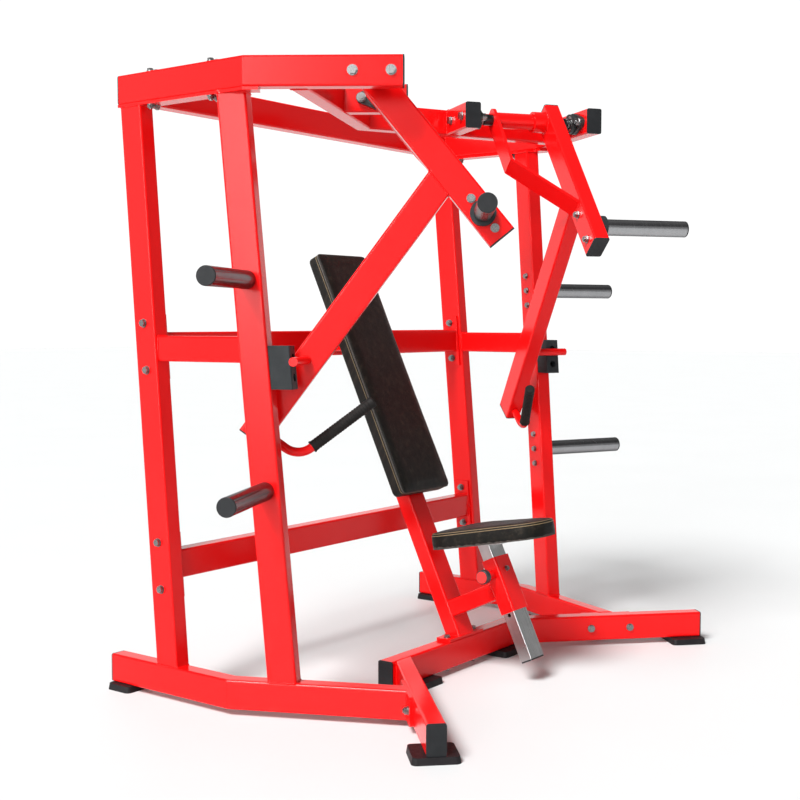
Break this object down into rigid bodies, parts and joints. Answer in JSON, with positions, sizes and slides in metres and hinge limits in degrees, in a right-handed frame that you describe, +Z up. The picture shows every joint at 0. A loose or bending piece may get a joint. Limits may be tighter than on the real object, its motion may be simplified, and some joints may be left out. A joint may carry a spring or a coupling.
{
  "type": "chest press machine",
  "caption": "Plate-loaded wide chest press with two independent overhead press arms, a leaning back pad, a height-adjustable seat and plate storage horns on a tubular steel frame.",
  "frame": {"origin": "on the floor, at the middle of the machine's overall width and depth", "axes": "+Z up, -Y towards the user's front where the press handles move, +X to the right as seen from the front"},
  "size_m": [2.0568, 1.1634, 1.7486],
  "materials": {
    "back_board_wood": "black-stained plywood",
    "back_vinyl": "grained upholstery vinyl",
    "bearing_steel": "ground",
    "black_cast_iron": "black paint over casting",
    "black_plastic": "moulded, fine texture",
    "black_rubber": "matte",
    "black_steel": "blackened, oiled",
    "bright_steel": "turned bright steel",
    "foot_rubber": "matte",
    "grey_chrome": "plated tube",
    "grip_rubber": "ribbed, matte",
    "knob_plastic": "moulded",
    "red_paint": "glossy powder coat",
    "red_plastic": "glossy",
    "seat_board_wood": "black-stained plywood",
    "seat_vinyl": "grained upholstery vinyl",
    "spring_steel": "wound wire",
    "zinc_plated_steel": "zinc plated"
  },
  "bodies": {
    "frame": {"back_board": "back_board_wood", "back_pad": "back_vinyl", "back_post": "red_paint", "bearing_housings": "black_cast_iron", "bearing_inserts": "bearing_steel", "frame_bolts": "zinc_plated_steel", "frame_end_caps": "black_plastic", "frame_nuts": "zinc_plated_steel", "front_base_tube": "red_paint", "inner_beams": "red_paint", "left_base_rail": "red_paint", "left_front_leg": "red_paint", "left_front_upright": "red_paint", "left_rear_upright": "red_paint", "left_top_rail": "red_paint", "lock_pin_spring": "spring_steel", "lower_cross_beam": "red_paint", "middle_cross_beam": "red_paint", "pin_barrel": "red_paint", "rear_top_beam": "red_paint", "right_base_rail": "red_paint", "right_front_leg": "red_paint", "right_front_upright": "red_paint", "right_rear_upright": "red_paint", "right_top_rail": "red_paint", "rubber_feet": "foot_rubber", "seat_bracket": "red_paint", "side_braces": "red_paint", "stop_blocks": "black_rubber", "storage_horns": "bright_steel", "top_front_vee": "red_paint", "top_plates": "red_paint"},
    "right_arm": {"right_pivot_shaft": "black_steel", "right_weight_tube": "red_paint", "right_press_tube": "red_paint", "right_pivot_bracket": "red_paint", "right_weight_horn": "bright_steel", "right_horn_collar": "black_rubber", "right_handle": "red_paint", "right_handle_grip": "grip_rubber", "right_horn_bolts": "zinc_plated_steel", "right_arm_caps": "black_plastic"},
    "left_arm": {"left_pivot_shaft": "black_steel", "left_weight_tube": "red_paint", "left_press_tube": "red_paint", "left_pivot_bracket": "red_paint", "left_weight_horn": "bright_steel", "left_horn_collar": "black_rubber", "left_handle": "red_paint", "left_handle_grip": "grip_rubber", "left_horn_bolts": "zinc_plated_steel", "left_arm_caps": "black_plastic"},
    "seat": {"seat_post": "grey_chrome", "seat_post_cap": "black_plastic", "seat_board": "seat_board_wood", "seat_pad": "seat_vinyl"},
    "lock_pin": {"lock_pin": "zinc_plated_steel", "lock_pin_knob": "knob_plastic", "lock_pin_knob_cap": "red_plastic"}
  },
  "joints": [
    {"name": "right_arm_pivot", "type": "hinge", "parent": "frame", "child": "right_arm", "pos_m": [0.38864, -0.07957, 1.69], "axis": [-0.8171, 0.5764, 0], "range_deg": [0, 50]},
    {"name": "left_arm_pivot", "type": "hinge", "parent": "frame", "child": "left_arm", "pos_m": [-0.38864, -0.07957, 1.69], "axis": [-0.8171, -0.5764, 0], "range_deg": [0, 50]},
    {"name": "seat_height", "type": "slide", "parent": "frame", "child": "seat", "axis": [0, 0.4226, 0.9063], "range_m": [0, 0.128]},
    {"name": "lock_pin_pull", "type": "slide", "parent": "frame", "child": "lock_pin", "axis": [-1, 0, 0], "range_m": [0, 0.01], "stiffness_N_per_m": 1200, "springref_m": -0.004, "deforming": ["lock_pin_spring"]}
  ]
}
